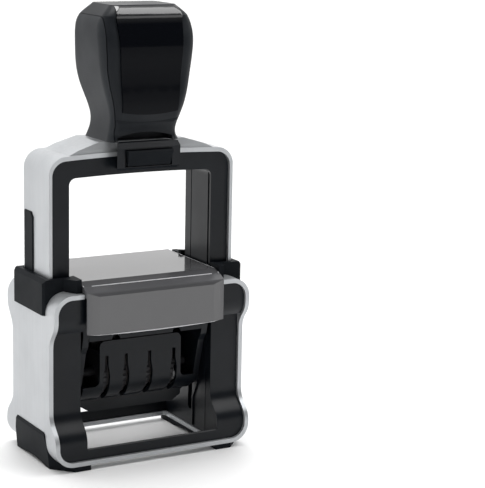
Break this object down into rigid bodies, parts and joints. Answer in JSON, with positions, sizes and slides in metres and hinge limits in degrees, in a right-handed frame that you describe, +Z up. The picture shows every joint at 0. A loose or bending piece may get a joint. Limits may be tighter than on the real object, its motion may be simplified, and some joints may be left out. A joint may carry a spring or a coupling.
{
  "type": "self-inking date stamp",
  "caption": "Free-standing self-inking date stamp: a sprung bow with a grip turns a carriage of date wheels and a text plate over from the ink pad to the paper.",
  "frame": {"origin": "middle of the footprint, on the paper under the feet", "axes": "+Z up, +X to the right of a user facing the stamp, so the front with the hood's flap faces -Y and the bow's opening runs along Y"},
  "size_m": [0.068, 0.0389, 0.1389],
  "materials": {
    "satin_metal": "satin silver",
    "black_plastic": "fine satin black",
    "soft_grip": "soft-touch dark grey",
    "gloss_black": "high gloss black",
    "smoked_plastic": "glossy smoke grey",
    "steel": "bright zinc",
    "wheel_plastic": "matt black",
    "stamp_rubber": "matt grey rubber",
    "ink_felt": "soaked felt"
  },
  "bodies": {
    "frame": {"frame_band": "satin_metal", "frame_liner_front": "black_plastic", "frame_liner_rear": "black_plastic", "cam_plate_left": "black_plastic", "cam_plate_right": "black_plastic", "collar_left": "black_plastic", "collar_right": "black_plastic", "foot_left": "black_plastic", "foot_right": "black_plastic", "hood": "smoked_plastic", "pad_rail_left": "black_plastic", "pad_rail_right": "black_plastic", "guide_rod_left": "steel", "guide_rod_right": "steel", "return_spring_left": "steel", "return_spring_right": "steel"},
    "bow": {"bow_band": "satin_metal", "bow_liner": "black_plastic", "bow_crown": "satin_metal", "guide_rib_left": "black_plastic", "guide_rib_right": "black_plastic", "grip_core": "black_plastic", "grip_side_left": "soft_grip", "grip_side_right": "soft_grip", "grip_panel_front": "gloss_black", "grip_panel_rear": "gloss_black", "saddle_front": "black_plastic", "saddle_rear": "black_plastic", "pivot_pin_left": "steel", "pivot_pin_right": "steel", "grip_screw": "steel"},
    "carriage": {"cheek_left": "black_plastic", "cheek_right": "black_plastic", "cam_pin_left": "steel", "cam_pin_right": "steel", "plate_holder": "black_plastic", "text_plate": "stamp_rubber", "date_shield": "black_plastic", "wheel_cover": "black_plastic", "wheel_axle": "wheel_plastic", "band_anvil": "black_plastic", "date_band_month": "stamp_rubber", "date_band_day_tens": "stamp_rubber", "date_band_day_units": "stamp_rubber", "date_band_year": "stamp_rubber"},
    "cartridge": {"ink_tray": "black_plastic", "ink_pad": "ink_felt"},
    "button_front": {"lock_button_front": "black_plastic"},
    "button_rear": {"lock_button_rear": "black_plastic"},
    "wheel_month": {"date_wheel_month": "wheel_plastic"},
    "wheel_day_tens": {"date_wheel_day_tens": "wheel_plastic"},
    "wheel_day_units": {"date_wheel_day_units": "wheel_plastic"},
    "wheel_year": {"date_wheel_year": "wheel_plastic"}
  },
  "joints": [
    {"name": "bow_press", "type": "slide", "parent": "frame", "child": "bow", "axis": [0, 0, -1], "range_m": [0, 0.03], "stiffness_N_per_m": 400, "springref_m": -0.02, "deforming": ["return_spring_left", "return_spring_right"]},
    {"name": "carriage_turn", "type": "hinge", "parent": "bow", "child": "carriage", "pos_m": [0, 0, 0.0401], "axis": [1, 0, 0], "range_deg": [0, 180.01]},
    {"name": "cartridge_slide", "type": "slide", "parent": "frame", "child": "cartridge", "axis": [0, 1, 0], "range_m": [0, 0.045]},
    {"name": "button_front_press", "type": "slide", "parent": "bow", "child": "button_front", "axis": [0, 1, 0], "range_m": [0, 0.0012], "stiffness_N_per_m": 300, "springref_m": -0.001},
    {"name": "button_rear_press", "type": "slide", "parent": "bow", "child": "button_rear", "axis": [0, -1, 0], "range_m": [0, 0.0012], "stiffness_N_per_m": 300, "springref_m": -0.001},
    {"name": "wheel_month_spin", "type": "hinge", "parent": "carriage", "child": "wheel_month", "pos_m": [0, 0, 0.025], "axis": [1, 0, 0], "continuous": true},
    {"name": "wheel_day_tens_spin", "type": "hinge", "parent": "carriage", "child": "wheel_day_tens", "pos_m": [0, 0, 0.025], "axis": [1, 0, 0], "continuous": true},
    {"name": "wheel_day_units_spin", "type": "hinge", "parent": "carriage", "child": "wheel_day_units", "pos_m": [0, 0, 0.025], "axis": [1, 0, 0], "continuous": true},
    {"name": "wheel_year_spin", "type": "hinge", "parent": "carriage", "child": "wheel_year", "pos_m": [0, 0, 0.025], "axis": [1, 0, 0], "continuous": true}
  ],
  "couplings": [
    {"joint": "carriage_turn", "follows": "bow_press", "rad_per_m": 104.72}
  ]
}
